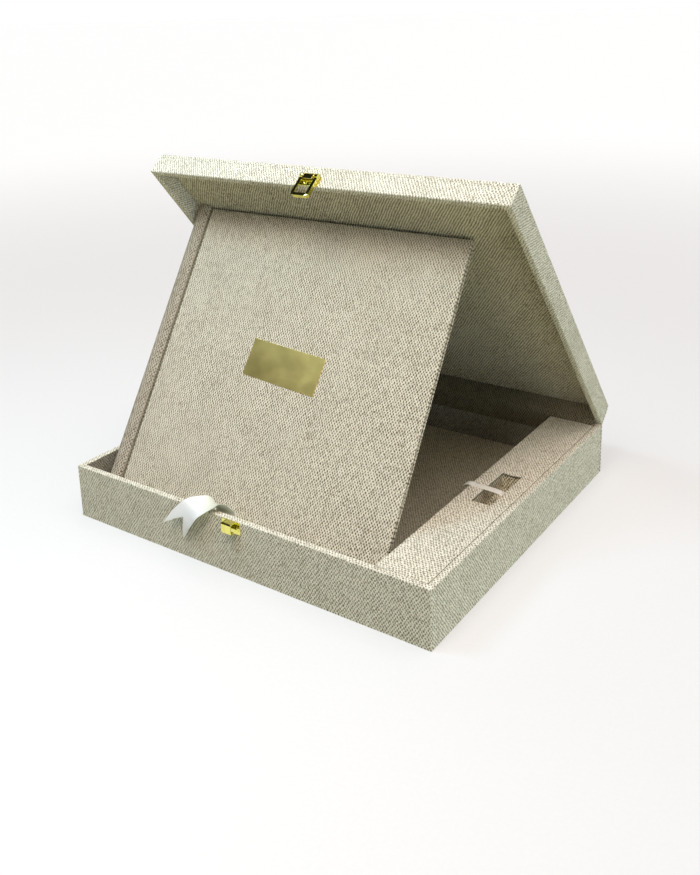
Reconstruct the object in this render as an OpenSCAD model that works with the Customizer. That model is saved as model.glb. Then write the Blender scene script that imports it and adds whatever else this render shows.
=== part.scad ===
// Keepsake box: a cloth-covered tray with an album bay and a small raised deck, a cloth-hinged lid
// with a brass clasp, and a slim album that leans in the bay and props the lid open.
// Millimetres. Origin at the middle of the tray's underside, +X right along the front,
// +Y towards the hinge, +Z up.

/* [Box] */
// Outside width over the cloth, along the front
box_w = 330; // [280:1:400]
// Outside depth over the cloth, from front to hinge
box_d = 294; // [250:1:360]
// Height of the tray
tray_h = 44.5; // [36:0.5:60]
// Height of the lid
lid_h = 19.5; // [16:0.5:30]
// Thickness of the wall boards
wall_board = 4.4; // [3:0.1:6]
// Thickness of the base board
base_board_t = 4.4; // [3:0.1:6]
// Thickness of the covering cloth
cloth = 0.4; // [0.3:0.05:0.6]
// Play round the loose-laid panels
fit = 0.3; // [0.2:0.05:0.6]
// Gap between cloth faces that move past or lie on each other
skin_gap = 0.1; // [0.05:0.01:0.15]

/* [Lid] */
// Thickness of the lid's top board
panel_board = 3.4; // [2:0.1:5]
// Thickness of the lining panel inside the lid
lid_lining_t = 2.4; // [1.5:0.1:4]
// How far the inner hinge lining reaches down the tray's back wall
lining_drop = 14; // [8:1:24]

/* [Bay and deck] */
// Thickness of the covered floor panel in the bay
floor_pad_t = 2.3; // [1.5:0.1:4]
// Width of the raised deck beside the bay
deck_w = 40; // [32:1:60]
// Thickness of the deck panel
deck_t = 2.4; // [1.5:0.1:4]
// Thickness of the divider between bay and deck
divider_t = 2.4; // [1.5:0.1:4]
// Width of the ledge that carries the deck's outer edge
ledge_w = 6; // [4:0.5:9]
// Height of that ledge
ledge_h = 8; // [5:0.5:14]
// Width of the well in the deck
well_w = 16; // [12:0.5:20]
// Length of the well in the deck
well_l = 52; // [40:1:70]
// Depth of the well below the deck's top
well_depth = 14; // [10:0.5:20]
// Wall of the well's card tub
well_wall = 1.2; // [0.8:0.1:2]
// Middle of the well, from the middle of the box towards the hinge
well_y = -5; // [-40:1:40]

/* [Album] */
// Thickness of each album cover
cover_t = 1.8; // [1.5:0.1:3]
// Thickness of the leaves between the covers
pages_t = 1.4; // [1:0.1:6]
// Width of the rounded spine
spine_w = 14; // [10:0.5:20]
// How far the rounded spine stands above the front cover
spine_proud = 2.5; // [0:0.1:4]
// Width of the joint groove beside the spine
joint_w = 2.5; // [1.5:0.1:4]
// Depth of the joint groove
joint_depth = 1.2; // [0.6:0.1:1.3]
// How far the leaves lie inside the covers
pages_inset = 3; // [2:0.5:6]
// Room between the left wall and the spine
album_left_gap = 3.3; // [2:0.1:8]
// Room between the album and the divider
album_right_gap = 6.3; // [3:0.1:10]
// From the front wall to the album's resting edge on the floor
album_front_gap = 12.1; // [11:0.1:16]
// Room behind the album when it lies flat
album_back_gap = 10.5; // [6:0.5:16]
// Lean of the album from the floor
album_lean = 57.9; // [52:0.1:62]
// Room under the album for the ribbon
album_rest = 0.6; // [0.5:0.05:1]
// Room between the album's top edge and the lid lining
album_touch = 0.3; // [0.2:0.05:0.6]
// Width of the name plate
plate_w = 71; // [50:1:90]
// Height of the name plate
plate_h = 30; // [20:1:40]
// Thickness of the name plate
plate_t = 0.6; // [0.4:0.1:1]
// From the spine edge to the middle of the name plate
plate_x = 139.7; // [110:0.1:150]
// From the lower edge to the middle of the name plate
plate_y = 140.4; // [110:0.1:160]
// Turn of the name plate on the cover, anticlockwise
plate_turn = -4; // [-8:0.5:8]

/* [Clasp] */
// Thickness of the clasp's sheet brass
sheet = 0.8; // [0.6:0.1:1]
// Width of the clasp's loop
loop_w = 16; // [14:0.5:18]
// How far the loop's face stands off the wall
loop_out = 4.2; // [3.6:0.1:5]
// Width of the loop's arms and end rail
loop_rail = 2.6; // [2:0.1:2.8]
// Radius of the loop's lower corners
loop_corner = 3; // [2:0.5:4]
// Radius of the hinge pin
pin_r = 1; // [0.8:0.05:1.1]
// Running clearance round the pin
pin_play = 0.08; // [0.04:0.01:0.1]
// Width of the plate on the lid that carries the loop
hasp_w = 17.4; // [15:0.2:20]
// Outer radius of the rolled knuckle and the loop's ears
knuckle_r = 2; // [1.8:0.05:2.2]
// Width of the middle knuckle
knuckle_w = 8.4; // [6:0.2:9]
// How far the knuckle's rolled end hangs below the pin
knuckle_drop = 4; // [2:0.2:5]
// Height of the pin above the lid's rim
pin_up = 7.5; // [6.5:0.5:9]
// How far the pin stands off the wall
pin_out = 3.2; // [3.1:0.1:3.6]
// Width of the catch plate on the tray
catch_w = 17; // [15:0.5:20]
// Height of the catch plate
catch_h = 9.4; // [9:0.2:13]
// From the tray's rim down to the catch plate
catch_down = 0.6; // [0.4:0.1:2]
// Width of the catch's tongue
tongue_w = 9; // [7:0.5:9.5]
// How far the tongue stands off the wall
tongue_out = 6.2; // [5.6:0.1:7]
// Height of the tongue's face
tongue_h = 7; // [6:0.2:8]
// Outer radius of the tongue's bends
tongue_bend = 1.6; // [1.2:0.1:2]
// Radius of the nail shanks
nail_r = 0.6; // [0.4:0.05:0.8]
// Radius of the nail heads
nail_head_r = 1.2; // [1:0.05:1.4]
// Length of the nail shanks
nail_l = 4; // [3:0.1:4.8]

/* [Ribbons] */
// Width of the satin lift ribbon
lift_w = 19.5; // [15:0.5:22]
// Depth of the swallowtail cut in its end
lift_notch = 17.6; // [8:0.2:20]
// How far the lift ribbon reaches back over the bay's floor
lift_lie = 84; // [50:1:120]
// Size of its bend from the floor up the front wall
lift_bend = 7; // [5:0.5:9]
// Height of its crown over the rim
lift_crown = 3.7; // [3:0.1:6]
// How far to the left the swallowtail's cut begins
lift_side = 32; // [24:0.5:40]
// How far in front of the wall's inside it hangs there
lift_out = 9.6; // [9:0.1:14]
// How far below the rim it hangs there
lift_hang = 9; // [4:0.5:12]
// Middle of the lift ribbon, from the middle of the box
lift_x = -12; // [-24:0.5:-6]
// Thickness of both ribbons
ribbon_t = 0.3; // [0.2:0.05:0.4]
// Width of the narrow ribbon over the well
well_ribbon_w = 6; // [4:0.5:9]
// Where the narrow ribbon crosses the well, from the well's middle
well_ribbon_y = -4; // [-12:0.5:12]

/* [Hidden] */
$fn = 48;
eps = 1;
linen = "#CBBDA8";
lining = "#B7A893";
greyboard = "#A9987E";
gold = "#D6B24C";
satin = "#F4F2EC";
paper = "#F7F3E8";

wall = wall_board + 2 * cloth;
half_w = box_w / 2;
half_d = box_d / 2;
in_left = -half_w + wall;
in_right = half_w - wall;
in_front = -half_d + wall;
in_back = half_d - wall;
base_top = cloth + base_board_t;
floor_z = base_top + floor_pad_t;
lid_top = tray_h + lid_h;
frame_top = lid_top - cloth - panel_board;
lid_depth = frame_top - lid_lining_t - tray_h;
hinge_y = half_d - cloth;
divider_x = in_right - deck_w;
panel_back = in_back - cloth - fit;
deck_low = tray_h - deck_t;
well_x = divider_x + deck_w / 2;

// The album fills the bay less its gaps, and its top edge carries the lid's lining.
album_w = divider_x - in_left - album_left_gap - album_right_gap;
album_h = in_back - in_front - album_front_gap - album_back_gap;
album_t = 2 * cover_t + pages_t;
album_x = in_left + album_left_gap;
foot_y = in_front + album_front_gap;
foot_z = floor_z + album_rest;
reach_y = album_h * cos(album_lean) - (hinge_y - foot_y);
reach_z = album_h * sin(album_lean) - (tray_h - foot_z);
lid_open = 180 - asin((lid_depth - album_touch) / norm([reach_y, reach_z])) - atan2(reach_z, reach_y);

pin_y = -half_d - pin_out;
pin_z = tray_h + pin_up;
catch_top = tray_h - catch_down;
catch_low = catch_top - catch_h;
hasp_nails_at = [for (side = [-1, 1]) [side * 4.2, -half_d, tray_h + 2.6]];
catch_nails_at = [for (side = [-1, 1]) [side * (catch_w + tongue_w) / 4, -half_d, catch_low + catch_h / 2]];
// Closed, the loop's end rail lies just under the tongue.
window_low = catch_top - tongue_h - tongue_bend - fit;
loop_low = window_low - loop_rail;

// Routes of the ribbons: points of the middle line, and the turn of the ribbon's width from +X towards -Y.
// The lift ribbon's last stretch is its swallowtail.
lift_low = floor_z + ribbon_t / 2 + skin_gap;
lift_fall = [-0.61, -0.04, -0.79];
lift_turn = in_front + lift_bend / 4;
lift_apex = [lift_x - lift_side, in_front - lift_out, tray_h - lift_hang, 3.5];
lift_route = [
    [lift_x, in_front + lift_lie, lift_low, 0],
    [lift_x, in_front + lift_lie * 0.6, lift_low, 0],
    [lift_x, in_front + lift_bend * 2, lift_low, 0],
    [lift_x, in_front + lift_bend * 0.7, lift_low + lift_bend * 0.13, 0],
    [lift_x, lift_turn, floor_z + lift_bend * 1.2, 0],
    [lift_x, lift_turn, tray_h - lift_bend * 2, 0],
    [lift_x - lift_side * 0.09, in_front + lift_bend * 0.68, tray_h - lift_bend * 0.63, 5],
    [lift_x - lift_side * 0.253, in_front + lift_bend * 0.39, tray_h + lift_crown * 0.665, 6.5],
    [lift_x - lift_side * 0.443, in_front - lift_out * 0.236, tray_h + lift_crown * 0.925, 8],
    [lift_x - lift_side * 0.714, in_front - lift_out * 0.812, tray_h - lift_hang * 0.066, 8],
    lift_apex,
    concat(place(lift_apex) + lift_notch * lift_fall, [-15])
];
well_right = well_x + well_w / 2;
well_left = well_x - well_w / 2;
deck_lie = tray_h + ribbon_t / 2 + skin_gap;
well_cross_y = well_y + well_ribbon_y;
well_route = [
    [well_right - 0.4, well_cross_y, tray_h - 4, 90],
    [well_right - 0.9, well_cross_y, tray_h - 1.6, 90],
    [well_right - 4, well_cross_y, tray_h - 0.2, 90],
    [well_left + 3, well_cross_y, tray_h + 0.3, 90],
    [well_left - 3, well_cross_y, deck_lie, 90],
    [divider_x + 4, well_cross_y, deck_lie, 90],
    [divider_x - 1, well_cross_y, tray_h + 0.9, 90],
    [divider_x - 5, well_cross_y, tray_h - 1.2, 90]
];
route_steps = 6;

// Helpers

module block(low, high) {
    translate(low)
        cube(high - low);
}

// Turns what is drawn with the lid closed to the angle at which it rests on the album.
module lid_pose() {
    translate([0, hinge_y, tray_h])
        rotate([-lid_open, 0, 0])
            translate([0, -hinge_y, -tray_h])
                children();
}

// Lays what is drawn flat, with the spine along +Y and the front cover up, against the lid.
module album_pose() {
    translate([album_x, foot_y, foot_z])
        rotate([album_lean, 0, 0])
            children();
}

// A profile in the Y-Z plane, drawn out along X.
module along_x(from, to) {
    translate([from, 0, 0])
        rotate([90, 0, 90])
            linear_extrude(to - from)
                children();
}

// A round bar along X.
module bar_x(r, from, to, y, z) {
    translate([from, y, z])
        rotate([0, 90, 0])
            cylinder(r = r, h = to - from);
}

// Shank holes for nails driven square into a front wall.
module nail_holes(places) {
    for (p = places)
        translate(p + [0, -eps - sheet, 0])
            rotate([-90, 0, 0])
                cylinder(r = nail_r + pin_play, h = nail_l + eps + fit);
}

module nails(places) {
    for (p = places)
        translate(p + [0, -sheet, 0])
            rotate([-90, 0, 0]) {
                cylinder(r = nail_r, h = nail_l);
                intersection() {
                    translate([0, 0, nail_head_r])
                        sphere(r = nail_head_r * 1.4);
                    translate([0, 0, -nail_head_r])
                        cylinder(r = nail_head_r, h = nail_head_r);
                }
            }
}

// A smooth curve through a route's points.
function curve(p, i, t) =
    let (a = p[max(i - 1, 0)], b = p[i], c = p[i + 1], d = p[min(i + 2, len(p) - 1)])
    0.5 * (2 * b + (c - a) * t + (2 * a - 5 * b + 4 * c - d) * t * t + (3 * b - a - 3 * c + d) * t * t * t);
function stations(p) = concat(
    [for (i = [0 : len(p) - 2]) for (k = [0 : route_steps - 1]) curve(p, i, k / route_steps)],
    [p[len(p) - 1]]);
function place(s) = [s[0], s[1], s[2]];
function unit(v) = v / norm(v);
function heading(s, i) = unit(place(s[min(i + 1, len(s) - 1)]) - place(s[max(i - 1, 0)]));
function square_to(v, run) = unit(v - (v * run) * run);

// Faces between two rings of corners, split alike above and below so that a twist keeps its thickness,
// and over the end of one ring.
function band(p, q) = [for (k = [0 : len(p) - 1])
    let (j = (k + 1) % len(p))
    each k < len(p) / 2
        ? [[p[k], q[k], p[j]], [p[j], q[k], q[j]]]
        : [[p[k], q[k], q[j]], [p[k], q[j], p[j]]]];
function cap(p) = [[p[0], p[1], p[2]], [p[0], p[2], p[3]]];
function turned(faces) = [for (f = faces) [f[0], f[2], f[1]]];
function from(start, picks) = [for (k = picks) start + k];

// A flat ribbon swept along a route, six corners at each station. The last cut stations are split
// in two tails that taper to the ribbon's edges.
module ribbon(route, width, cut = 0) {
    s = stations(route);
    n = len(s);
    fork = n - 1 - cut;
    function corners(i, lo, hi) =
        let (
            run = heading(s, i),
            across = square_to([cos(s[i][3]), -sin(s[i][3]), 0], run) * width / 2,
            through = unit(cross(run, across)) * ribbon_t / 2,
            m = place(s[i]))
        [m + across * lo - through, m + across * hi - through,
         m + across * hi + through, m + across * lo + through];
    function whole(i) =
        let (a = corners(i, -1, 0), b = corners(i, 0, 1))
        [a[0], a[1], b[1], b[2], a[2], a[3]];
    function taper(i) = 0.97 * (i - fork) / max(cut, 1);
    points = concat(
        [for (i = [0 : fork]) each whole(i)],
        [for (i = [fork + 1 : 1 : n - 1]) each concat(corners(i, -1, -taper(i)), corners(i, taper(i), 1))]);
    all = [0, 1, 2, 3, 4, 5];
    left = [0, 1, 4, 5];
    right = [1, 2, 3, 4];
    tail = [0, 1, 2, 3];
    last = 6 * fork;
    first_tail = last + 6;
    last_tail = first_tail + 8 * (cut - 1);
    body = [for (i = [0 : fork - 1]) each band(from(6 * i, all), from(6 * i + 6, all))];
    start = concat(cap(left), cap(right));
    plain_end = concat(turned(cap(from(last, left))), turned(cap(from(last, right))));
    split_end = concat(
        band(from(last, left), from(first_tail, tail)),
        band(from(last, right), from(first_tail + 4, tail)),
        [for (i = [0 : 1 : cut - 2]) for (side = [0, 4])
            let (a = first_tail + 8 * i + side)
            each band(from(a, tail), from(a + 8, tail))],
        turned(cap(from(last_tail, tail))),
        turned(cap(from(last_tail + 4, tail))));
    polyhedron(points = points, faces = concat(start, body, cut > 0 ? split_end : plain_end));
}

// Tray

module base_cloth() {
    color(linen)
        block([-half_w, -half_d, 0], [half_w, half_d, cloth]);
}

module base_board() {
    color(greyboard)
        block([-half_w + cloth, -half_d + cloth, cloth], [half_w - cloth, half_d - cloth, base_top]);
}

module tray_front_board() {
    color(greyboard)
        difference() {
            block([-half_w + cloth, -half_d + cloth, base_top],
                  [half_w - cloth, in_front - cloth, tray_h - cloth]);
            nail_holes(catch_nails_at);
        }
}

module tray_back_board() {
    color(greyboard)
        block([-half_w + cloth, in_back + cloth, base_top], [half_w - cloth, half_d - cloth, tray_h - cloth]);
}

module tray_left_board() {
    color(greyboard)
        block([-half_w + cloth, in_front - cloth, base_top],
              [in_left - cloth, in_back + cloth, tray_h - cloth]);
}

module tray_right_board() {
    color(greyboard)
        block([in_right + cloth, in_front - cloth, base_top],
              [half_w - cloth, in_back + cloth, tray_h - cloth]);
}

// One wrap of linen: outside the walls, over the rim and down the inside. The back is left to the
// hinge cloth.
module tray_cloth() {
    color(linen)
        difference() {
            block([-half_w, -half_d, cloth], [half_w, hinge_y, tray_h]);
            block([in_left, in_front, base_top], [in_right, in_back, tray_h + eps]);
            block([-half_w + cloth, -half_d + cloth, 0], [half_w - cloth, half_d, base_top]);
            difference() {
                block([-half_w + cloth, -half_d + cloth, 0], [half_w - cloth, half_d, tray_h - cloth]);
                block([in_left - cloth, in_front - cloth, base_top],
                      [in_right + cloth, in_back + cloth, tray_h]);
            }
            nail_holes(catch_nails_at);
        }
}

module bay_floor() {
    color(lining)
        block([in_left + fit, in_front + fit, base_top], [divider_x - fit, in_back - fit, floor_z]);
}

module deck_divider() {
    color(lining)
        block([divider_x, in_front + fit, base_top], [divider_x + divider_t, panel_back, deck_low]);
}

module deck_ledge() {
    color(greyboard)
        block([in_right - ledge_w, in_front + fit, deck_low - ledge_h], [in_right, panel_back, deck_low]);
}

module deck_panel() {
    color(linen)
        difference() {
            block([divider_x, in_front + fit, deck_low], [in_right - fit, panel_back, tray_h]);
            block([well_left, well_y - well_l / 2, deck_low - eps],
                  [well_right, well_y + well_l / 2, tray_h + eps]);
        }
}

module well_tub() {
    floor_low = tray_h - well_depth - well_wall;
    color(lining)
        difference() {
            block([well_left - well_wall, well_y - well_l / 2 - well_wall, floor_low],
                  [well_right + well_wall, well_y + well_l / 2 + well_wall, deck_low]);
            block([well_left, well_y - well_l / 2, floor_low + well_wall],
                  [well_right, well_y + well_l / 2, deck_low + eps]);
        }
}

module well_ribbon() {
    color(satin)
        ribbon(well_route, well_ribbon_w);
}

module lift_ribbon() {
    color(satin)
        ribbon(lift_route, lift_w, route_steps);
}

// Catch plate with a sprung tongue bent out of it, over which the loop snaps.
module catch_plate() {
    bend = tongue_bend;
    face_low = catch_top - tongue_h;
    color(gold)
        difference() {
            union() {
                block([-catch_w / 2, -half_d - sheet, catch_low], [catch_w / 2, -half_d, catch_top]);
                along_x(-tongue_w / 2, tongue_w / 2)
                    difference() {
                        union() {
                            translate([-half_d - tongue_out + bend, catch_top - bend])
                                circle(r = bend);
                            translate([-half_d - tongue_out + bend, catch_top - sheet])
                                square([tongue_out - bend, sheet]);
                            translate([-half_d - tongue_out, face_low])
                                square([sheet, tongue_h - bend]);
                            translate([-half_d - tongue_out + bend, face_low])
                                circle(r = bend);
                        }
                        translate([-half_d - tongue_out + sheet, face_low])
                            square([tongue_out - sheet, tongue_h - bend]);
                        translate([-half_d - tongue_out + bend, catch_top - bend])
                            circle(r = bend - sheet);
                        translate([-half_d - tongue_out + bend, catch_top - 2 * bend])
                            square([bend, 2 * bend - sheet]);
                        translate([-half_d - tongue_out + bend, face_low])
                            circle(r = bend - sheet);
                    }
            }
            nail_holes(catch_nails_at);
        }
}

module catch_nails() {
    color(gold)
        nails(catch_nails_at);
}

// One strip of cloth over the tray's back, across the hinge line and up the lid's back.
module hinge_cloth() {
    color(linen) {
        block([-half_w, hinge_y, cloth], [half_w, half_d, tray_h]);
        lid_pose()
            block([-half_w, hinge_y, tray_h], [half_w, half_d, frame_top]);
    }
}

// A second strip inside, from the tray's back wall across the open gap to the lid's back wall.
module hinge_lining() {
    function opened(y, z) = [
        hinge_y + (y - hinge_y) * cos(lid_open) + (z - tray_h) * sin(lid_open),
        tray_h - (y - hinge_y) * sin(lid_open) + (z - tray_h) * cos(lid_open)];
    far = in_back - skin_gap;
    near = far - cloth;
    low = tray_h - lining_drop;
    high = frame_top - lid_lining_t;
    color(lining)
        along_x(in_left + fit, in_right - fit)
            polygon([
                [near, low], [far, low], [far, tray_h], opened(far, tray_h),
                opened(far, high), opened(near, high), opened(near, tray_h), [near, tray_h]]);
}

// Lid

module lid_panel_board() {
    color(greyboard)
        lid_pose()
            block([-half_w + cloth, -half_d + cloth, frame_top],
                  [half_w - cloth, half_d - cloth, lid_top - cloth]);
}

module lid_panel_cloth() {
    color(linen)
        lid_pose()
            difference() {
                block([-half_w, -half_d, frame_top], [half_w, half_d, lid_top]);
                block([-half_w + cloth, -half_d + cloth, frame_top - eps],
                      [half_w - cloth, half_d - cloth, lid_top - cloth]);
            }
}

module lid_front_board() {
    color(greyboard)
        lid_pose()
            difference() {
                block([-half_w + cloth, -half_d + cloth, tray_h + cloth],
                      [half_w - cloth, in_front - cloth, frame_top]);
                nail_holes(hasp_nails_at);
            }
}

module lid_back_board() {
    color(greyboard)
        lid_pose()
            block([-half_w + cloth, in_back + cloth, tray_h + cloth],
                  [half_w - cloth, half_d - cloth, frame_top]);
}

module lid_left_board() {
    color(greyboard)
        lid_pose()
            block([-half_w + cloth, in_front - cloth, tray_h + cloth],
                  [in_left - cloth, in_back + cloth, frame_top]);
}

module lid_right_board() {
    color(greyboard)
        lid_pose()
            block([in_right + cloth, in_front - cloth, tray_h + cloth],
                  [half_w - cloth, in_back + cloth, frame_top]);
}

// The lid walls' wrap, like the tray's, with its back left to the hinge cloth.
module lid_frame_cloth() {
    color(linen)
        lid_pose()
            difference() {
                block([-half_w, -half_d, tray_h], [half_w, hinge_y, frame_top]);
                block([in_left, in_front, tray_h - eps], [in_right, in_back, frame_top + eps]);
                difference() {
                    block([-half_w + cloth, -half_d + cloth, tray_h + cloth],
                          [half_w - cloth, half_d, frame_top + eps]);
                    block([in_left - cloth, in_front - cloth, tray_h],
                          [in_right + cloth, in_back + cloth, frame_top + 2 * eps]);
                }
                nail_holes(hasp_nails_at);
            }
}

module lid_lining() {
    color(lining)
        lid_pose()
            block([in_left + fit, in_front + fit, frame_top - lid_lining_t],
                  [in_right - fit, panel_back, frame_top]);
}

// Clasp

// Plate on the lid's front wall. The middle of its top edge is rolled over the pin and hangs down in front.
module hasp_plate() {
    half = knuckle_w / 2;
    color(gold)
        lid_pose()
            difference() {
                union() {
                    block([-hasp_w / 2, -half_d - sheet, tray_h + fit],
                          [hasp_w / 2, -half_d, pin_z + knuckle_r - sheet / 2]);
                    bar_x(knuckle_r, -half, half, pin_y, pin_z);
                    block([-half, pin_y, pin_z + knuckle_r - sheet], [half, -half_d, pin_z + knuckle_r]);
                    block([-half, -half_d - sheet, pin_z - eps], [half, -half_d, pin_z + knuckle_r]);
                    block([-half, pin_y - knuckle_r, pin_z - knuckle_drop],
                          [half, pin_y - knuckle_r + sheet, pin_z]);
                }
                bar_x(pin_r + pin_play, -knuckle_w, knuckle_w, pin_y, pin_z);
                nail_holes(hasp_nails_at);
            }
}

module hasp_nails() {
    color(gold)
        lid_pose()
            nails(hasp_nails_at);
}

module hasp_pin() {
    color(gold)
        lid_pose()
            bar_x(pin_r, -loop_w / 2, loop_w / 2, pin_y, pin_z);
}

// Pressed loop: two arms and an end rail round a window, edged with flanges, and two ears on the pin.
module hasp_loop() {
    face_out = -half_d - loop_out;
    flange_in = -half_d - sheet - fit;
    face_top = pin_z - knuckle_r / 2;
    low = loop_low;
    arm_in = loop_w / 2 - loop_rail;
    color(gold)
        lid_pose()
            difference() {
                union() {
                    difference() {
                        intersection() {
                            block([-loop_w / 2, face_out, low], [loop_w / 2, flange_in, face_top]);
                            translate([0, face_out - eps, 0])
                                rotate([-90, 0, 0])
                                    linear_extrude(loop_out + 2 * eps)
                                        loop_outline(low, face_top);
                        }
                        translate([0, face_out + sheet, 0])
                            rotate([-90, 0, 0])
                                linear_extrude(loop_out + eps)
                                    loop_outline(low, face_top + 2 * eps, sheet);
                        block([-arm_in, face_out - eps, window_low],
                              [arm_in, face_out + 2 * sheet, face_top + eps]);
                    }
                    for (side = [-1, 1]) {
                        outer = side * loop_w / 2;
                        inner = side * (loop_w / 2 - sheet);
                        block([min(outer, inner), pin_y - knuckle_r, face_top - eps],
                              [max(outer, inner), pin_y + knuckle_r, pin_z]);
                        bar_x(knuckle_r, min(outer, side * arm_in), max(outer, side * arm_in), pin_y, pin_z);
                    }
                }
                bar_x(pin_r + pin_play, -loop_w, loop_w, pin_y, pin_z);
            }
}

// Outline of the loop's face, square above and rounded below, drawn in from its edge. Drawn with -Z as +Y.
module loop_outline(low, high, inset = 0) {
    half = loop_w / 2 - inset;
    r = loop_corner - inset;
    end = low + inset;
    translate([-half, -high])
        square([2 * half, high - end - r]);
    translate([-half + r, -end - r - eps])
        square([2 * (half - r), r + eps]);
    for (side = [-1, 1])
        translate([side * (half - r), -end - r])
            circle(r = r);
}

// Album, drawn flat with its back cover down and its spine at x = 0

module album_back_cover() {
    color(linen)
        album_pose()
            block([spine_w + joint_w, 0, 0], [album_w, album_h, cover_t]);
}

module album_front_cover() {
    color(linen)
        album_pose()
            block([spine_w + joint_w, 0, album_t - cover_t], [album_w, album_h, album_t]);
}

// Rounded roll, proud of the front cover. Its head is cut square to the lid's lining.
module album_spine() {
    steps = 10;
    side = album_t * 0.3;
    crown = album_t + spine_proud;
    seam = album_t - joint_depth + cloth;
    crown_x = spine_w * 0.45;
    section = concat(
        [for (i = [1 : steps]) let (a = 90 * i / steps)
            [crown_x - crown_x * cos(a), side + (crown - side) * sin(a)]],
        [for (i = [1 : steps]) let (a = 90 * i / steps)
            [crown_x + (spine_w - crown_x) * sin(a), seam + (crown - seam) * cos(a)]],
        [[spine_w, 0]],
        [for (i = [0 : steps - 1]) let (a = 90 * i / steps)
            [crown_x * 0.5 * (1 - sin(a)), side * (1 - cos(a))]],
        [[0, side]]);
    head = tan(lid_open + album_lean - 90) * 0.9;
    color(linen)
        album_pose()
            intersection() {
                translate([0, 2 * album_h, 0])
                    rotate([90, 0, 0])
                        linear_extrude(2 * album_h)
                            polygon(section);
                along_x(-eps, spine_w + eps)
                    polygon([[0, -eps], [album_h - eps * head, -eps], [album_h + 2 * crown * head, 2 * crown],
                             [0, 2 * crown]]);
            }
}

// The cloth in the two joint grooves, between spine and covers.
module album_joint_cloth() {
    color(linen)
        album_pose()
            for (low = [joint_depth, album_t - joint_depth - cloth])
                block([spine_w, 0, low], [spine_w + joint_w, album_h, low + cloth]);
}

module album_pages() {
    color(paper)
        album_pose()
            block([spine_w + joint_w, pages_inset, cover_t],
                  [album_w - pages_inset, album_h - pages_inset, album_t - cover_t]);
}

module name_plate() {
    color(gold)
        album_pose()
            translate([plate_x, plate_y, album_t])
                rotate([0, 0, plate_turn])
                    block([-plate_w / 2, -plate_h / 2, 0], [plate_w / 2, plate_h / 2, plate_t]);
}

base_cloth();
base_board();
tray_front_board();
tray_back_board();
tray_left_board();
tray_right_board();
tray_cloth();
bay_floor();
deck_divider();
deck_ledge();
deck_panel();
well_tub();
well_ribbon();
lift_ribbon();
catch_plate();
catch_nails();
hinge_cloth();
hinge_lining();
lid_panel_board();
lid_panel_cloth();
lid_front_board();
lid_back_board();
lid_left_board();
lid_right_board();
lid_frame_cloth();
lid_lining();
hasp_plate();
hasp_nails();
hasp_pin();
hasp_loop();
album_back_cover();
album_front_cover();
album_spine();
album_joint_cloth();
album_pages();
name_plate();
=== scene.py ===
import math

import bmesh
import bpy
from mathutils import Matrix, Vector


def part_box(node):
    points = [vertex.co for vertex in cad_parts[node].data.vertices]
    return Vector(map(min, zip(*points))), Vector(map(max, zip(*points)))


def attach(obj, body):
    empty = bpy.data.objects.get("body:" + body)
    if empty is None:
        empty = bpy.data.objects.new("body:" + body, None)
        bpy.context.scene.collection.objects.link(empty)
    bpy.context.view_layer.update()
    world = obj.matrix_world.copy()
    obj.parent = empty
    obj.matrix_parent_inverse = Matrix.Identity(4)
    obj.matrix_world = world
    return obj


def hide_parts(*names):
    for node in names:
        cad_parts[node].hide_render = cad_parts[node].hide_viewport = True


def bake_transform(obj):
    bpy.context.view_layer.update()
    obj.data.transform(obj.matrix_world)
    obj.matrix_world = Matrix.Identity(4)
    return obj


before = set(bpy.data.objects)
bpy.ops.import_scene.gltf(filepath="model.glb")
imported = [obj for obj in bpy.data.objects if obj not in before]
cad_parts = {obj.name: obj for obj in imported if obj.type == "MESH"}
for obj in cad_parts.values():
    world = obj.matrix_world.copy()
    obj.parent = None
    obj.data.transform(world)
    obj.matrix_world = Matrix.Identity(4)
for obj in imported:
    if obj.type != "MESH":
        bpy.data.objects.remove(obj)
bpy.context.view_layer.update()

# Sizes in millimetres, the same as in the part's source
HALF_W, HALF_D = 165, 147
TRAY_H, LID_TOP, FRAME_TOP = 44.5, 64, 60.2
CLOTH, WALL = 0.4, 5.2
IN_X, IN_Y = HALF_W - WALL, HALF_D - WALL
LINING_PLAY, LINING_T = 0.3, 2.4
BASE_TOP = 4.8
HINGE_Y = HALF_D - CLOTH
LID_OPEN = 50.01334
WELL_LEFT, WELL_RIGHT, WELL_FRONT, WELL_BACK = 131.8, 147.8, -31, 21
WELL_DEPTH, WELL_WALL = 14, 1.2
ALBUM_X, FOOT_Y, FOOT_Z, ALBUM_LEAN = -156.5, -129.7, 7.7, 57.9
ALBUM_W, ALBUM_H, ALBUM_T, COVER_T = 270, 261, 5.0, 1.8
SPINE_W, SPINE_PROUD, JOINT_W, JOINT_DEPTH = 14, 2.5, 2.5, 1.2
PLATE_X, PLATE_Y, PLATE_W, PLATE_H, PLATE_T, PLATE_TURN = 139.7, 140.4, 71, 30, 0.6, -4
RIBBON_T, PULL_W, LIFT_W = 0.3, 6, 19.5

# Radii of the edges where cloth is turned over a board, in millimetres
RIM_ROUND, PANEL_ROUND, COVER_ROUND, TUB_ROUND, SPINE_ROUND, PLATE_ROUND = 1.0, 0.9, 0.75, 0.7, 0.3, 0.18

# The weave in millimetres: the yarns' pitches, and how far a yarn wanders over a few centimetres
WARP_PITCH, WEFT_PITCH, WANDER = 1.2, 1.7, 2.4
# Step in the noise from one yarn to the next, wide enough to set their tones apart
YARN_STEP = 5.7

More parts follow.
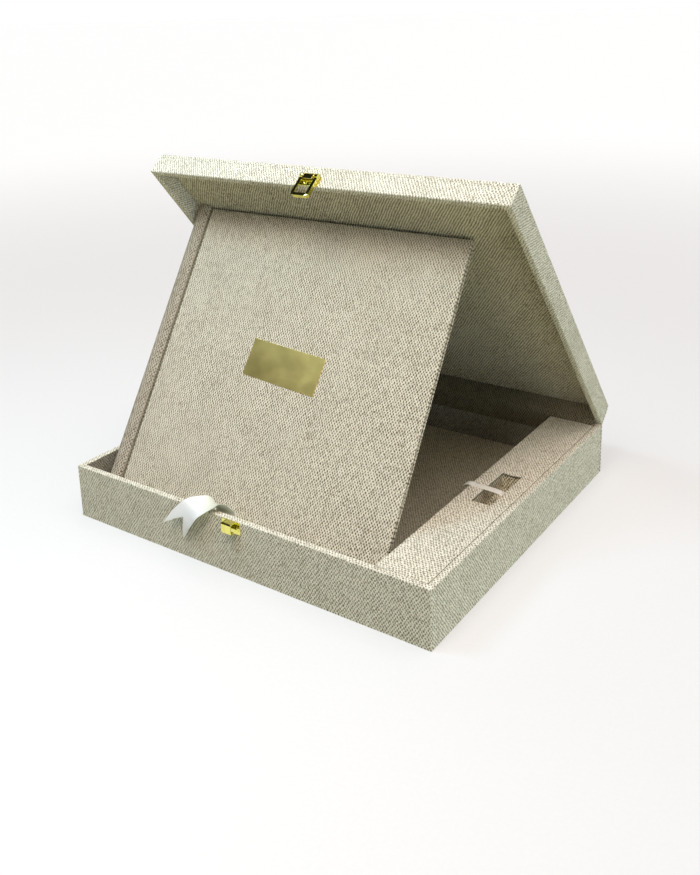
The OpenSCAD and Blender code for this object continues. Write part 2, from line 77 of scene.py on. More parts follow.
# The ribbons' routes: x, y and z in millimetres, and the turn of the width in degrees
LIFT_ROUTE = [
    (-12, -57.8, 7.35, 0), (-12, -91.4, 7.35, 0), (-12, -127.8, 7.35, 0), (-12, -136.9, 8.26, 0),
    (-12, -140.05, 15.5, 0), (-12, -140.05, 30.5, 0), (-14.88, -137.04, 40.09, 5),
    (-20.1, -139.07, 46.96, 6.5), (-26.18, -144.07, 47.92, 8), (-34.85, -149.6, 43.91, 8),
    (-44, -151.4, 35.5, 3.5), (-54.74, -152.1, 21.6, -15),
]
WELL_ROUTE = [
    (147.4, -9, 40.5, 90), (146.9, -9, 42.9, 90), (143.8, -9, 44.3, 90), (134.8, -9, 44.8, 90),
    (128.8, -9, 44.75, 90), (123.8, -9, 44.75, 90), (118.8, -9, 45.4, 90), (114.8, -9, 43.3, 90),
]
# Stretch of the lift ribbon, in millimetres from its hidden end, over which its painted shade fades out to
# the tail's own colour
SHADE_FADE_FROM, SHADE_FADE_TO = 124, 142

# The photograph's frame in pixels, with the fitted focal length and middle
FRAME_H, FOCAL, MIDDLE = 875, 972.25, 269.56

# Where the closed lid and the flat album go as the box stands open
LID_POSE = (
    Matrix.Translation((0, HINGE_Y, TRAY_H))
    @ Matrix.Rotation(math.radians(-LID_OPEN), 4, "X")
    @ Matrix.Translation((0, -HINGE_Y, -TRAY_H))
)
ALBUM_POSE = Matrix.Translation((ALBUM_X, FOOT_Y, FOOT_Z)) @ Matrix.Rotation(math.radians(ALBUM_LEAN), 4, "X")


def set_camera():
    """The photograph's viewpoint, fitted to the box's corners."""
    lens = bpy.data.cameras.new("photo_camera")
    lens.sensor_fit = "VERTICAL"
    lens.sensor_height = 36
    lens.lens = lens.sensor_height * FOCAL / FRAME_H
    lens.shift_y = (MIDDLE - FRAME_H / 2) / FRAME_H
    lens.clip_end = 100
    camera = bpy.data.objects.new("photo_camera", lens)
    right = Vector((0.8231, 0.5673, -0.0263))
    down = Vector((0.1243, -0.2252, -0.9664))
    forward = Vector((-0.5541, 0.7921, -0.2558))
    turn = Matrix((right, -down, -forward)).transposed()
    camera.matrix_world = Matrix.Translation((0.43406, -0.61036, 0.39369)) @ turn.to_4x4()
    bpy.context.scene.collection.objects.link(camera)
    bpy.context.scene.camera = camera


class Shade:
    """A socket of a node tree that takes part in Python arithmetic."""

    def __init__(self, tree, socket=None):
        self.tree, self.socket = tree, socket

    def node(self, kind, settings=None, sockets=None, out=0):
        """A new node with its settings and sockets; its output is what the rest reads."""
        made = self.tree.nodes.new(kind)
        for key, value in (settings or {}).items():
            setattr(made, key, value)
        for key, value in (sockets or {}).items():
            if isinstance(value, Shade):
                self.tree.links.new(value.socket, made.inputs[key])
            else:
                made.inputs[key].default_value = value
        return Shade(self.tree, made.outputs[out]) if made.outputs else None

    def maths(self, operation, *values):
        return self.node("ShaderNodeMath", {"operation": operation}, dict(enumerate(values)))

    def __add__(self, other):
        return self.maths("ADD", self, other)

    __radd__ = __add__

    def __sub__(self, other):
        return self.maths("SUBTRACT", self, other)

    def __rsub__(self, other):
        return self.maths("SUBTRACT", other, self)

    def __mul__(self, other):
        return self.maths("MULTIPLY", self, other)

    __rmul__ = __mul__

    def __truediv__(self, other):
        return self.maths("DIVIDE", self, other)

    def __abs__(self):
        return self.maths("ABSOLUTE", self)

    def sine(self):
        return self.maths("SINE", self)

    def floor(self):
        return self.maths("FLOOR", self)

    def between(self, low, high):
        """0 below low, 1 above high, and a soft step between them."""
        return self.node(
            "ShaderNodeMapRange",
            {"interpolation_type": "SMOOTHSTEP"},
            {"Value": self, "From Min": low, "From Max": high},
        )

    def part(self, axis):
        return self.node("ShaderNodeSeparateXYZ", None, {0: self}, axis)

    def noise(self, scale, detail=2.0, roughness=0.5):
        """Cloudy values round 0.5 over the place in this socket."""
        return self.node(
            "ShaderNodeTexNoise",
            None,
            {"Vector": self, "Scale": scale, "Detail": detail, "Roughness": roughness},
        )

    def tint(self, dark, light):
        """A colour from dark at 0 to light at 1, each a colour or a socket."""
        dark, light = ((*c, 1) if isinstance(c, tuple) else c for c in (dark, light))
        return self.node(
            "ShaderNodeMix", {"data_type": "RGBA", "clamp_factor": True}, {0: self, 6: dark, 7: light}, 2
        )


def new_finish(name):
    """An empty material and its tree."""
    finish = bpy.data.materials.new(name)
    finish.use_nodes = True
    finish.node_tree.nodes.clear()
    return finish, Shade(finish.node_tree)


def dress(tree, sockets, bump=None, strength=0.5, depth=0.0003):
    """Ends a material with its surface shader and, where given, its bump."""
    if bump is not None:
        sockets["Normal"] = tree.node(
            "ShaderNodeBump", None, {"Strength": strength, "Distance": depth, "Height": bump}
        )
    surface = tree.node("ShaderNodeBsdfPrincipled", None, sockets)
    tree.node("ShaderNodeOutputMaterial", None, {"Surface": surface})


def make_linen(name, hole, shaded, lit, slub=1.6, inside=None):
    """Coarse plain-woven linen over a weave map in millimetres; its colour follows the weave's relief, with
    painted shade in the pit where each yarn dips and a painted highlight on the crowns.

    slub is how uneven the yarns are, and inside is half the size of a room whose walls get painted shade:
    their colour is halved there.
    """
    finish, tree = new_finish(name)
    cloth = tree.node("ShaderNodeUVMap", {"uv_map": "weave"})
    aside = tree.node("ShaderNodeVectorMath", {"operation": "ADD"}, {0: cloth, 1: (310.0, 170.0, 40.0)})
    warp, weft = (
        (cloth.part(axis) + (place.noise(0.06) - 0.5) * WANDER + (place.noise(0.35) - 0.5) * slub) / pitch
        for axis, place, pitch in ((0, cloth, WARP_PITCH), (1, aside, WEFT_PITCH))
    )
    crossing = (warp * math.pi).sine() * (weft * math.pi).sine()
    height = 0.12 + 0.7 * crossing.between(-0.7, 0.15) + 0.18 * crossing
    warp_yarn = tree.node("ShaderNodeCombineXYZ", None, {0: warp.floor() * YARN_STEP, 1: weft * 0.19})
    weft_yarn = tree.node("ShaderNodeCombineXYZ", None, {0: warp * 0.13, 1: weft.floor() * YARN_STEP, 2: 9.0})
    square = tree.node("ShaderNodeCombineXYZ", None, {0: warp.floor(), 1: weft.floor()})
    stitch = tree.node("ShaderNodeTexWhiteNoise", {"noise_dimensions": "2D"}, {"Vector": square})
    tone = 0.5 * warp_yarn.noise(1.0) + 0.5 * weft_yarn.noise(1.0)
    fleck = cloth.noise(0.5, 3.0, 0.65)
    cloud = cloth.noise(0.03, 3.0)
    # The colour follows the weave's height: painted shade in the pits and a painted highlight on the crowns,
    # over the yarns' own uneven tones
    shade = height * (0.6 + 0.9 * aside.noise(0.25)) - 0.05 + 0.6 * (tone - 0.5) + 0.45 * (stitch - 0.5)
    shade = shade + 1.0 * (fleck - 0.5) + 0.3 * (cloud - 0.5)
    colour = shade.between(0.0, 0.5).tint(hole, shaded)
    colour = shade.between(0.35, 1.0).tint(colour, lit)
    # Painted shade: inside the room the colour is halved
    if inside:
        place = tree.node("ShaderNodeTexCoord", None, None, 3)
        in_shade_room = [(edge - abs(place.part(axis))).between(0.0, 0.0002) for axis, edge in enumerate(inside)]
        colour = tree.node(
            "ShaderNodeVectorMath",
            {"operation": "SCALE"},
            {0: colour, "Scale": 1 - 0.5 * in_shade_room[0] * in_shade_room[1]},
        )
    dress(
        tree,
        {"Base Color": colour, "Roughness": 0.96 - 0.1 * height, "Specular IOR Level": 0.2},
        height + 0.4 * (fleck - 0.5),
        0.7,
        0.0004,
    )
    return finish


def make_satin(name, dark, light, shade_tint=None):
    """Ribbon satin: fine ribs across the ribbon and a soft gloss; the last argument, where given, tints all
    of the ribbon but its tail as painted shade.
    """
    finish, tree = new_finish(name)
    cloth = tree.node("ShaderNodeUVMap", {"uv_map": "weave"})
    across, along = cloth.part(0), cloth.part(1)
    rib = abs((along * (math.pi / 0.28)).sine())
    yarn = tree.node("ShaderNodeCombineXYZ", None, {0: across * 6.0, 1: along * 0.12}).noise(1.0, 2.0)
    crease = tree.node("ShaderNodeCombineXYZ", None, {0: across * 0.05, 1: along * 0.16}).noise(1.0, 1.0)
    # The colour also follows the ribs and creases: painted shade in their hollows, over the yarns' own uneven
    # tone
    shade = 0.35 + 0.25 * rib + 0.5 * yarn + 0.25 * (crease - 0.5)
    colour = shade.tint(dark, light)
    # Painted shade: all of the ribbon but its tail takes the darker tint
    if shade_tint:
        colour = along.between(SHADE_FADE_FROM, SHADE_FADE_TO).tint(shade_tint, colour)
    dress(
        tree,
        {
            "Base Color": colour,
            "Roughness": 0.30 + 0.14 * yarn,
            "Sheen Weight": 0.25,
            "Sheen Roughness": 0.35,
            "Subsurface Weight": 0.4,
            "Subsurface Radius": (1.0, 1.0, 1.0),
            "Subsurface Scale": 0.0007,
        },
        0.25 * rib + 0.5 * yarn + 1.5 * crease,
        0.25,
        0.0003,
    )
    return finish


def make_gold(name, dark, light, roughness):
    """Plated and polished sheet metal with fine wear marks and a patchy haze."""
    finish, tree = new_finish(name)
    place = tree.node("ShaderNodeTexCoord", None, None, 3)
    haze = place.noise(260.0, 3.0)
    grain = place.noise(2600.0, 2.0)
    dress(
        tree,
        {
            "Base Color": (0.25 + 0.75 * haze + 0.3 * (grain - 0.5)).tint(dark, light),
            "Metallic": 1.0,
            "Roughness": roughness + 0.16 * (haze - 0.5) + 0.08 * (grain - 0.5),
        },
        grain,
        0.06,
        0.00008,
    )
    return finish


def make_brushed(name, dark, light):
    """Plate brass, brushed along its length; its map is in millimetres."""
    finish, tree = new_finish(name)
    plate = tree.node("ShaderNodeUVMap", {"uv_map": "weave"})
    across, along = plate.part(1), plate.part(0)
    stroke = tree.node("ShaderNodeCombineXYZ", None, {0: along * 0.06, 1: across * 9.0}).noise(1.0, 3.0, 0.6)
    fine = tree.node("ShaderNodeCombineXYZ", None, {0: along * 0.4, 1: across * 26.0}).noise(1.0, 1.0)
    stain = plate.noise(0.06, 3.0)
    dress(
        tree,
        {
            "Base Color": (0.15 + 0.4 * stroke + 0.25 * fine + 0.4 * (stain - 0.3)).tint(dark, light),
            "Metallic": 1.0,
            "Roughness": 0.34 + 0.18 * (stroke - 0.5) + 0.15 * (stain - 0.5),
        },
        stroke + 0.5 * fine,
        0.12,
        0.0001,
    )
    return finish


def make_board(name, dark, light):
    """Pressed grey board with its fibres and specks."""
    finish, tree = new_finish(name)
    place = tree.node("ShaderNodeTexCoord", None, None, 3)
    fibre = place.noise(900.0, 4.0, 0.65)
    speck = place.noise(3200.0, 2.0).between(0.62, 0.72)
    ply = place.noise(60.0, 2.0)
    dress(
        tree,
        {
            "Base Color": (0.2 + 0.7 * fibre + 0.3 * (ply - 0.5) - 0.4 * speck).tint(dark, light),
            "Roughness": 0.85 + 0.1 * (fibre - 0.5),
        },
        fibre,
        0.35,
        0.0002,
    )
    return finish


def make_pages(name, dark, light):
    """The edges of a block of leaves: fine lines through its thickness."""
    finish, tree = new_finish(name)
    place = tree.node("ShaderNodeTexCoord", None, None, 3)
    foot, lean = (0.0, FOOT_Y / 1000, FOOT_Z / 1000), (math.radians(ALBUM_LEAN), 0.0, 0.0)
    flat = tree.node(
        "ShaderNodeMapping", {"vector_type": "TEXTURE"}, {"Vector": place, "Location": foot, "Rotation": lean}
    )
    rise = flat.part(2) * 1000
    leaf = abs((rise * (math.pi / 0.2)).sine())
    wave = flat.noise(120.0, 2.0)
    dress(
        tree,
        {
            "Base Color": (0.25 + 0.55 * leaf + 0.4 * (wave - 0.5)).tint(dark, light),
            "Roughness": 0.8 + 0.1 * (wave - 0.5),
        },
        leaf + 0.3 * wave,
        0.4,
        0.0001,
    )
    return finish


def make_floor_paint(name):
    """Pale studio paper that glows, the glow painted dimmer near the box: painted shade round it, where its
    real shadow falls as well.
    """
    finish, tree = new_finish(name)
    place = tree.node("ShaderNodeTexCoord", None, None, 3)
    tooth = place.noise(400.0, 3.0)
    away = tree.node("ShaderNodeVectorMath", {"operation": "LENGTH"}, {0: place}, 1)
    dress(
        tree,
        {
            "Base Color": tooth.tint((0.40, 0.40, 0.40), (0.44, 0.44, 0.44)),
            "Roughness": 0.85 + 0.1 * tooth,
            # Painted shade: the glow is dimmer near the box and brighter far off
            "Emission Color": away.between(0.4, 2.5).tint((0.42, 0.42, 0.42), (0.66, 0.68, 0.69)),
            "Emission Strength": 1.0,
        },
    )
    return finish


def new_box(low, high):
    """A bmesh box between two corners."""
    bm = bmesh.new()
    bmesh.ops.create_cube(bm, size=1)
    low, high = Vector(low), Vector(high)
    bmesh.ops.scale(bm, vec=high - low, verts=bm.verts)
    bmesh.ops.translate(bm, vec=(low + high) / 2, verts=bm.verts)
    return bm


def round_off(bm, edges, radius, segments=3):
    """Rounds edges of a bmesh."""
    bmesh.ops.bevel(
        bm, geom=list(edges), offset=radius, segments=segments, profile=0.5, affect="EDGES", material=-1
    )


def slants(edge):
    """Whether an edge runs diagonally in plan, as where two faces meet at a corner."""
    a, b = (vert.co for vert in edge.verts)
    return abs(a.x - b.x) > 1 and abs(a.y - b.y) > 1


def level_edges(bm, height):
    """The edges at one height that don't run diagonally."""
    return [e for e in bm.edges if all(abs(v.co.z - height) < 0.01 for v in e.verts) and not slants(e)]


def new_row(bm, points, closed=False):
    """A line of edges through a few points."""
    verts = [bm.verts.new(p) for p in points]
    pairs = list(zip(verts, verts[1:] + verts[:1] if closed else verts[1:]))
    return [bm.edges.new(pair) for pair in pairs]


def pull_row(bm, edges, move):
    """Extrudes a line of edges; move gives each new vertex its place from the old one."""
    grown = bmesh.ops.extrude_edge_only(bm, edges=edges)["geom"]
    verts = [g for g in grown if isinstance(g, bmesh.types.BMVert)]
    for vert in verts:
        vert.co = move(vert.co.copy())
    fresh = set(verts)
    return [g for g in grown if isinstance(g, bmesh.types.BMEdge) and set(g.verts) <= fresh]


def thicken(bm, depth):
    """Gives a one-sided skin its thickness, on the side away from its normals."""
    bmesh.ops.solidify(bm, geom=bm.faces[:], thickness=depth)
    bmesh.ops.recalc_face_normals(bm, faces=bm.faces[:])


def weave_map(bm):
    """Maps every face flat, in millimetres, along the axis it faces most."""
    layer = bm.loops.layers.uv.new("weave")
    bm.normal_update()
    for face in bm.faces:
        facing = max(range(3), key=lambda axis: abs(face.normal[axis]))
        first, second = [(1, 2), (0, 2), (0, 1)][facing]
        for corner in face.loops:
            corner[layer].uv = (corner.vert.co[first], corner.vert.co[second])


def finish_piece(bm, name, finish, body=None, stands_for=(), pose=None):
    """Turns a bmesh in millimetres into a placed piece in metres."""
    if not bm.loops.layers.uv:
        weave_map(bm)
    if pose:
        bmesh.ops.transform(bm, matrix=pose, verts=bm.verts)
    bmesh.ops.scale(bm, vec=(0.001, 0.001, 0.001), verts=bm.verts)
    for face in bm.faces:
        face.smooth = True
    mesh = bpy.data.meshes.new(name)
    bm.to_mesh(mesh)
    bm.free()
    mesh.materials.append(finish)
    made = bpy.data.objects.new(name, mesh)
    bpy.context.scene.collection.objects.link(made)
    made.modifiers.new("even_shading", "WEIGHTED_NORMAL")
    if stands_for:
        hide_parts(*stands_for)
    if body:
        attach(made, body)
    return made


def node_box(name):
    """A solid's corners at rest, in millimetres."""
    low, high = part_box(name)
    return Vector(low) * 1000, Vector(high) * 1000


def route_stations(route, steps):
    """Evenly spaced places on a smooth line through the route, each with the turn of the width."""
    points = [Vector(p) for p in route]
    made = []
    for i in range(len(points) - 1):
        a = points[i - 1] if i else points[0] * 2 - points[1]
        b, c = points[i], points[i + 1]
        d = points[i + 2] if i + 2 < len(points) else c * 2 - b
        square, cube = 2 * a - 5 * b + 4 * c - d, 3 * b - a - 3 * c + d
        for k in range(steps + (i == len(points) - 2)):
            t = k / steps
            made.append(0.5 * (2 * b + (c - a) * t + square * t * t + cube * t ** 3))
    return made


def weave_ribbon(route, width, steps=8, across=8, notch=False, cup=0.0):
    """A ribbon along a route, cupped across; with notch its last stretch is a swallowtail."""
    made = route_stations(route, steps)
    spots = [Vector(s[:3]) for s in made]
    last = len(made) - 1
    fork = last - steps
    reach = [0.0]
    for a, b in zip(spots, spots[1:]):
        reach.append(reach[-1] + (b - a).length)

    def key(co):
        return tuple(round(x, 4) for x in co)

    def spot_at(place, side):
        low = min(int(place), last - 1)
        share = place - low
        centre = spots[low].lerp(spots[low + 1], share)
        turn = math.radians(made[low][3] * (1 - share) + made[low + 1][3] * share)
        heading = (spots[min(low + 1, last)] - spots[max(low - 1, 0)]).normalized()
        hint = Vector((math.cos(turn), -math.sin(turn), 0))
        sideways = (hint - heading * hint.dot(heading)).normalized()
        up = heading.cross(sideways)
        bow = cup * (side * side - 0.33) * min(place / last * 3, 1)
        along = reach[low] + (reach[low + 1] - reach[low]) * share
        return centre + sideways * (side * width / 2) + up * bow, along

    bm = bmesh.new()
    layer = bm.loops.layers.uv.new("weave")
    sides = [2 * k / across - 1 for k in range(across + 1)]
    rows = [[spot_at(0, side)[0] for side in sides]]
    edges = new_row(bm, rows[0])
    where = {key(co): (side * width / 2, 0.0) for co, side in zip(rows[0], sides)}
    for i in range(1, last + 1):
        row = {}
        for side, old in zip(sides, rows[-1]):
            place = fork + (i - fork) * abs(side) if notch and i > fork else i
            co, along = spot_at(place, side)
            row[key(old)] = co
            where[key(co)] = (side * width / 2, along)
        edges = pull_row(bm, edges, lambda co: row[key(co)])
        rows.append([row[key(old)] for old in rows[-1]])
    for face in bm.faces:
        for corner in face.loops:
            corner[layer].uv = where[key(corner.vert.co)]
    bmesh.ops.remove_doubles(bm, verts=bm.verts[:], dist=0.0005)
    bmesh.ops.dissolve_degenerate(bm, edges=bm.edges[:], dist=0.0005)
    bmesh.ops.recalc_face_normals(bm, faces=bm.faces[:])
    thicken(bm, RIBBON_T)
    return bm


def draw_strip(profile, low, high):
    """A strip of cloth with that profile in Y and Z, from low to high along X."""
    bm = bmesh.new()
    layer = bm.loops.layers.uv.new("weave")
    edges = new_row(bm, [(low, y, z) for y, z in profile])
    pull_row(bm, edges, lambda co: Vector((high, co.y, co.z)))
    reach, where = 0.0, {}
    for i, (y, z) in enumerate(profile):
        if i:
            reach += math.dist(profile[i - 1], (y, z))
        where[(round(y, 3), round(z, 3))] = reach
    for face in bm.faces:
        for corner in face.loops:
            co = corner.vert.co
            corner[layer].uv = (co.x, where[(round(co.y, 3), round(co.z, 3))])
    return bm


def opened(y, z):
    """A place on the closed lid, as the lid stands open."""
    spot = LID_POSE @ Vector((0, y, z))
    return spot.y, spot.z


def wrap_walls(outer_far, inner_far):
    """The cloth over four walls: from outer_far to the rim, over it and down the inside to inner_far."""
    bm = bmesh.new()
    rim, back = TRAY_H, HINGE_Y
    corners = [(-HALF_W, -HALF_D), (HALF_W, -HALF_D), (HALF_W, back), (-HALF_W, back)]

    def inner_corner(co):
        return Vector((math.copysign(IN_X, co.x), math.copysign(IN_Y, co.y), rim))

    edges = new_row(bm, [(x, y, outer_far) for x, y in corners], True)
    edges = pull_row(bm, edges, lambda co: Vector((co.x, co.y, rim)))
    edges = pull_row(bm, edges, inner_corner)
    pull_row(bm, edges, lambda co: Vector((co.x, co.y, inner_far)))
    bmesh.ops.recalc_face_normals(bm, faces=bm.faces[:])
    front = min(bm.faces, key=lambda face: face.calc_center_median().y)
    if front.normal.y > 0:
        bmesh.ops.reverse_faces(bm, faces=bm.faces[:])
    upright = [e for e in bm.edges if abs(e.verts[0].co.z - e.verts[1].co.z) > 1 and len(e.link_faces) == 2]
    round_off(bm, level_edges(bm, rim) + upright, RIM_ROUND)
    hidden = [f for f in bm.faces if all(abs(v.co.y - back) < 0.01 for v in f.verts)]
    bmesh.ops.delete(bm, geom=hidden, context="FACES")
    weave_map(bm)
    thicken(bm, CLOTH)
    return bm


def cover_board(low, high, radius, segments=3):
    """A cloth-covered panel with its edges turned over."""
    bm = new_box(low, high)
    round_off(bm, bm.edges, radius, segments)
    return bm


def make_tray(wrap, linen, lining, well):
    """Everything that stands still, apart from the ribbons and the clasp."""
    finish_piece(wrap_walls(CLOTH, BASE_TOP), "tray_wrap", wrap, "tray", ["tray_cloth"])
    for node, radius, name, slot, finish in (
        ("base_cloth", 0.15, "underside_cloth", "linen", linen),
        ("bay_floor", 0.6, "bay_panel", "covered_board", lining),
        ("deck_divider", 0.3, "bay_divider", "covered_board", linen),
    ):
        finish_piece(cover_board(*node_box(node), radius), name, finish, "tray", [node])

    low, high = node_box("deck_panel")
    deck = bmesh.new()
    outline = [(low.x, low.y), (high.x, low.y), (high.x, high.y), (low.x, high.y)]
    hole = [
        (WELL_LEFT, WELL_FRONT), (WELL_RIGHT, WELL_FRONT), (WELL_RIGHT, WELL_BACK), (WELL_LEFT, WELL_BACK),
    ]

    def to_hole(co):
        nearest = min(range(4), key=lambda i: math.dist(outline[i], co[:2]))
        return Vector((*hole[nearest], high.z))

    first = new_row(deck, [(x, y, low.z) for x, y in outline], True)
    top = pull_row(deck, first, lambda co: Vector((co.x, co.y, high.z)))
    lip = pull_row(deck, top, to_hole)
    foot = pull_row(deck, lip, lambda co: Vector((co.x, co.y, low.z)))
    bmesh.ops.bridge_loops(deck, edges=first + foot)
    bmesh.ops.recalc_face_normals(deck, faces=deck.faces[:])
    round_off(deck, level_edges(deck, high.z), PANEL_ROUND)
    finish_piece(deck, "deck_top", linen, "tray", ["deck_panel"])

    floor = TRAY_H - WELL_DEPTH
    tub = new_box((WELL_LEFT, WELL_FRONT, floor), (WELL_RIGHT, WELL_BACK, low.z))
    mouth = [f for f in tub.faces if f.normal.z > 0.5]
    bmesh.ops.delete(tub, geom=mouth, context="FACES_ONLY")
    round_off(tub, [e for e in tub.edges if len(e.link_faces) == 2], TUB_ROUND, 2)
    weave_map(tub)
    bmesh.ops.reverse_faces(tub, faces=tub.faces[:])
    thicken(tub, WELL_WALL)
    finish_piece(tub, "well_lining", well, "tray", ["well_tub"])


def make_strip(profile, half, facing):
    """A hinge strip, half to either side of the middle; its outer side faces that way along Y."""
    strip = draw_strip(profile, -half, half)
    bmesh.ops.recalc_face_normals(strip, faces=strip.faces[:])
    lowest = min(strip.faces, key=lambda f: f.calc_center_median().z)
    if lowest.normal.y * facing < 0:
        bmesh.ops.reverse_faces(strip, faces=strip.faces[:])
    thicken(strip, CLOTH)
    return strip


def make_hinge(linen, lining):
    """The cloth strips that join lid and tray, outside and inside."""
    tray_rows = [(HALF_D, z) for z in (CLOTH, 15, 30, 40, 42.5, 43.6, 44.2)]
    lid_rows = [opened(HALF_D, z) for z in (44.9, 45.5, 46.6, 49, 54, FRAME_TOP)]
    outer = make_strip(tray_rows + lid_rows, HALF_W, 1)
    outer = finish_piece(outer, "hinge_cover", linen, None, ["hinge_cloth"])
    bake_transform(outer)

    near, sag = IN_Y - 0.1 - CLOTH, (0.3, 0.15)
    ends = list(zip((near, TRAY_H), opened(near, TRAY_H), sag))
    bridge = [
        tuple(a + (b - a) * t - math.sin(math.pi * t) * dip for a, b, dip in ends)
        for t in (0.15, 0.3, 0.5, 0.7, 0.85)
    ]
    tray_rows = [(near, z) for z in (30.5, 36, 41, 43.5, TRAY_H)]
    lid_rows = [opened(near, z) for z in (TRAY_H, 45.5, 48, 53, FRAME_TOP - LINING_T)]
    inner = make_strip(tray_rows + bridge + lid_rows, IN_X - LINING_PLAY, -1)
    # The inner strip takes the near-black linen: painted shade at the back of the box
    inner = finish_piece(inner, "hinge_inner", lining, None, ["hinge_lining"])
    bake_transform(inner)


def make_lid(linen, lining):
    """The lid's walls, top panel and lining panel, made closed and then opened."""
    walls = wrap_walls(FRAME_TOP, FRAME_TOP)
    finish_piece(walls, "lid_wrap", linen, "lid", ["lid_frame_cloth"], LID_POSE)

    top = new_box((-HALF_W, -HALF_D, FRAME_TOP), (HALF_W, HALF_D, LID_TOP))
    round_off(top, top.edges, PANEL_ROUND)
    hidden = [f for f in top.faces if f.normal.z < -0.99 and f.calc_area() > 1000]
    bmesh.ops.delete(top, geom=hidden, context="FACES")
    weave_map(top)
    thicken(top, CLOTH)
    finish_piece(top, "lid_top_cloth", linen, "lid", ["lid_panel_cloth"], LID_POSE)

    x, y = IN_X - LINING_PLAY, IN_Y - LINING_PLAY
    panel = cover_board((-x, -y, FRAME_TOP - LINING_T), (x, y, FRAME_TOP), PANEL_ROUND)
    finish_piece(panel, "lid_lining_panel", lining, "lid", ["lid_lining"], LID_POSE)


def spine_section():
    """Outline of the spine's roll across the album: over its crown to the joint, and back underneath."""
    crown, seam, side = ALBUM_T + SPINE_PROUD, ALBUM_T - JOINT_DEPTH + CLOTH, ALBUM_T * 0.3
    middle = SPINE_W * 0.45
    turns = [math.radians(7.5 * i) for i in range(13)]
    outer = [(middle * (1 - math.cos(a)), side + (crown - side) * math.sin(a)) for a in turns]
    inner = [
        (middle + (SPINE_W - middle) * math.sin(a), seam + (crown - seam) * math.cos(a)) for a in turns[1:]
    ]
    under = [(middle / 2 * (1 - math.sin(a)), side * (1 - math.cos(a))) for a in turns[:-1]]
    return outer + inner + [(SPINE_W, 0)] + under


def make_album(cloth, spine_shade_cloth, groove_shade_cloth, brushed):
    """The album's case, made lying flat with its spine at the left, then leaned."""

    def place(bm, name, slot, finish, node, pose=ALBUM_POSE):
        finish_piece(bm, name, finish, "album", [node], pose)

    edge = SPINE_W + JOINT_W
    front = cover_board((edge, 0, ALBUM_T - COVER_T), (ALBUM_W, ALBUM_H, ALBUM_T), COVER_ROUND)
    place(front, "album_front", "covered_board", cloth, "album_front_cover")
    back = cover_board((edge, 0, 0), (ALBUM_W, ALBUM_H, COVER_T), COVER_ROUND)
    place(back, "album_back", "covered_board", cloth, "album_back_cover")

    spine = bmesh.new()
    new_row(spine, [(x, 0, z) for x, z in spine_section()], True)
    end = bmesh.ops.contextual_create(spine, geom=spine.edges[:])["faces"]
    grown = bmesh.ops.extrude_face_region(spine, geom=end)["geom"]
    head = 0.9 * math.tan(math.radians(LID_OPEN + ALBUM_LEAN - 90))
    for vert in [g for g in grown if isinstance(g, bmesh.types.BMVert)]:
        vert.co.y = ALBUM_H + head * vert.co.z
    bmesh.ops.recalc_face_normals(spine, faces=spine.faces[:])
    rim = [e for e in spine.edges if abs(e.verts[0].co.y - e.verts[1].co.y) < 5]
    round_off(spine, rim, SPINE_ROUND, 2)
    # The spine takes the darker linen: painted shade of its roll
    place(spine, "album_spine_wrap", "covered_board", spine_shade_cloth, "album_spine")

    groove = bmesh.new()
    floor = ALBUM_T - JOINT_DEPTH
    valley = [(-0.4, 0.35), (0.3, 0.06), (1.2, 0.0), (2.0, 0.06), (2.8, 0.4)]
    for front_side in (True, False):
        points = [(SPINE_W + x, floor + z if front_side else ALBUM_T - floor - z) for x, z in valley]
        edges = new_row(groove, [(x, 0, z) for x, z in points])
        pull_row(groove, edges, lambda co: Vector((co.x, ALBUM_H, co.z)))
    for face in groove.faces:
        face.normal_update()
        if (face.calc_center_median().z - ALBUM_T / 2) * face.normal.z < 0:
            face.normal_flip()
    weave_map(groove)
    thicken(groove, CLOTH)
    # The joint groove takes the near-black linen: painted shade in the groove
    place(groove, "album_groove", "covered_board", groove_shade_cloth, "album_joint_cloth")

    x, y = PLATE_W / 2, PLATE_H / 2
    plate = cover_board((-x, -y, 0), (x, y, PLATE_T), PLATE_ROUND, 2)
    turn = Matrix.Rotation(math.radians(PLATE_TURN), 4, "Z")
    pose = ALBUM_POSE @ (Matrix.Translation((PLATE_X, PLATE_Y, ALBUM_T)) @ turn)
    place(plate, "bare_plate", "brass", brushed, "name_plate", pose)


def make_ribbons(satin, ivory):
    """The pull ribbon over the well and the lift ribbon under the album."""
    pull = weave_ribbon(WELL_ROUTE, PULL_W)
    pull = finish_piece(pull, "pull_ribbon", ivory, "tray", ["well_ribbon"])
    line = [tuple(c / 1000 for c in spot[:3]) for spot in route_stations(WELL_ROUTE, 4)]
    lift = weave_ribbon(LIFT_ROUTE, LIFT_W, notch=True, cup=0.5)
    lift = finish_piece(lift, "album_lift_ribbon", satin, "tray", ["lift_ribbon"])


def dress_solids(gold, board, paper):
    """Finishes for the solids that show as they are, with the metal ones' sharp edges eased."""
    metal = ["catch_plate", "catch_nails", "hasp_plate", "hasp_nails", "hasp_pin", "hasp_loop"]
    for name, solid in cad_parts.items():
        finish = gold if name in metal else paper if name == "album_pages" else board
        solid.data.materials.clear()
        solid.data.materials.append(finish)
        if name in metal:
            merge = solid.modifiers.new("merge", "WELD")
            merge.merge_threshold = 0.00001
            ease = solid.modifiers.new("ease", "BEVEL")
            ease.width, ease.segments, ease.use_clamp_overlap = 0.00016, 2, True
            ease.limit_method, ease.angle_limit = "ANGLE", math.radians(40)
            solid.modifiers.new("even_shading", "WEIGHTED_NORMAL")


